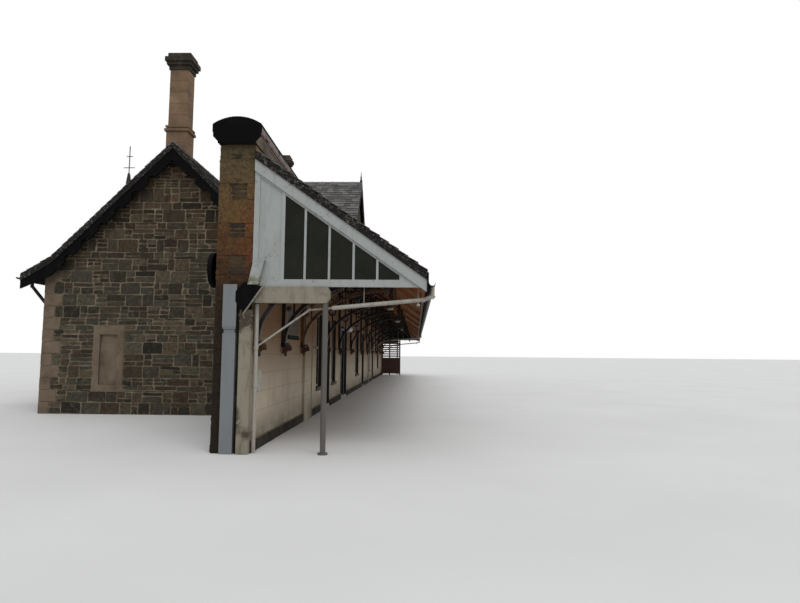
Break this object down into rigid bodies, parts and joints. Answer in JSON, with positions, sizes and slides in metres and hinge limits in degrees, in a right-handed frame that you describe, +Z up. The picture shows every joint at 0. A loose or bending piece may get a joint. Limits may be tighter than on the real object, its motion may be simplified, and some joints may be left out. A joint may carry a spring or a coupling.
{
  "type": "railway station building",
  "caption": "Single-storey stone station building with a long platform wall, glazed-end lean-to canopy on scrolled iron brackets, cross wing, bay and hinged doors.",
  "frame": {"origin": "centre of the building's bounding box, at ground level", "axes": "+Z up, +Y along the platform (the picture looks this way), +X from the building to the track side"},
  "size_m": [12.247, 38.04, 9.945],
  "materials": {
    "render_wall": "limewashed, stained",
    "rubble": "rough rubble with pale mortar",
    "sandstone": "dressed, weathered",
    "slate": "riven, lichened",
    "black_timber": "black paint, dull",
    "white_timber": "white paint, dirty and peeling",
    "varnished_boards": "old varnish",
    "cast_iron": "black paint",
    "grey_metal": "grey paint",
    "white_metal": "white paint, dirty",
    "black_metal": "black paint",
    "glass": "clear, dark behind",
    "door_paint": "dark green gloss",
    "concrete": "flagged floor",
    "brown_timber": "dark red-brown paint"
  },
  "bodies": {
    "building": {"floor_slab": "concrete", "platform_wall": "render_wall", "door_heads": "render_wall", "platform_plinth": "rubble", "wall_string": "sandstone", "wall_pilaster": "render_wall", "wall_coping": "black_metal", "coping_moulding": "sandstone", "gable_walls": "rubble", "rear_walls": "rubble", "wing_gable_walls": "rubble", "wing_side_walls": "rubble", "bay_walls": "rubble", "bay_roof": "slate", "roof_finials": "cast_iron", "south_range_roof": "slate", "north_range_roof": "slate", "wing_roof": "slate", "ridge_caps": "slate", "gable_bargeboards": "black_timber", "chimney_stacks": "sandstone", "chimney_caps": "sandstone", "rear_gutters": "cast_iron", "canopy_roof": "slate", "canopy_soffit": "varnished_boards", "canopy_rafters": "varnished_boards", "canopy_brackets": "cast_iron", "canopy_fascia": "black_timber", "canopy_gutter": "cast_iron", "canopy_bargeboards": "white_timber", "canopy_end_frames": "white_timber", "canopy_end_glass": "glass", "canopy_end_boards": "white_timber", "end_beams": "white_timber", "prop_posts": "grey_metal", "corner_posts": "white_timber", "pipe_casings": "grey_metal", "rain_hoppers": "black_metal", "canopy_drains": "white_metal", "lamps": "black_metal", "window_frames": "white_timber", "window_glass": "glass", "window_sills": "sandstone", "window_surrounds": "sandstone", "blocked_windows": "sandstone", "door_frames": "white_timber", "wind_screen": "brown_timber"},
    "waiting_room_door": {"waiting_room_door": "door_paint"},
    "hall_door_south": {"hall_door_south": "door_paint"},
    "hall_door_north": {"hall_door_north": "door_paint"},
    "office_door": {"office_door": "door_paint"},
    "store_door": {"store_door": "door_paint"}
  },
  "joints": [
    {"name": "waiting_room_door_hinge", "type": "hinge", "parent": "building", "child": "waiting_room_door", "pos_m": [2.9039, -10.7817, 1.29], "axis": [0, 0, 1], "range_deg": [0, 90]},
    {"name": "hall_door_south_hinge", "type": "hinge", "parent": "building", "child": "hall_door_south", "pos_m": [2.9039, -7.1317, 1.29], "axis": [0, 0, 1], "range_deg": [0, 90]},
    {"name": "hall_door_north_hinge", "type": "hinge", "parent": "building", "child": "hall_door_north", "pos_m": [2.9039, -5.3683, 1.29], "axis": [0, 0, 1], "range_deg": [-90, 0]},
    {"name": "office_door_hinge", "type": "hinge", "parent": "building", "child": "office_door", "pos_m": [2.9039, 1.2933, 1.29], "axis": [0, 0, 1], "range_deg": [0, 90]},
    {"name": "store_door_hinge", "type": "hinge", "parent": "building", "child": "store_door", "pos_m": [2.9039, 8.0433, 1.29], "axis": [0, 0, 1], "range_deg": [0, 90]}
  ]
}
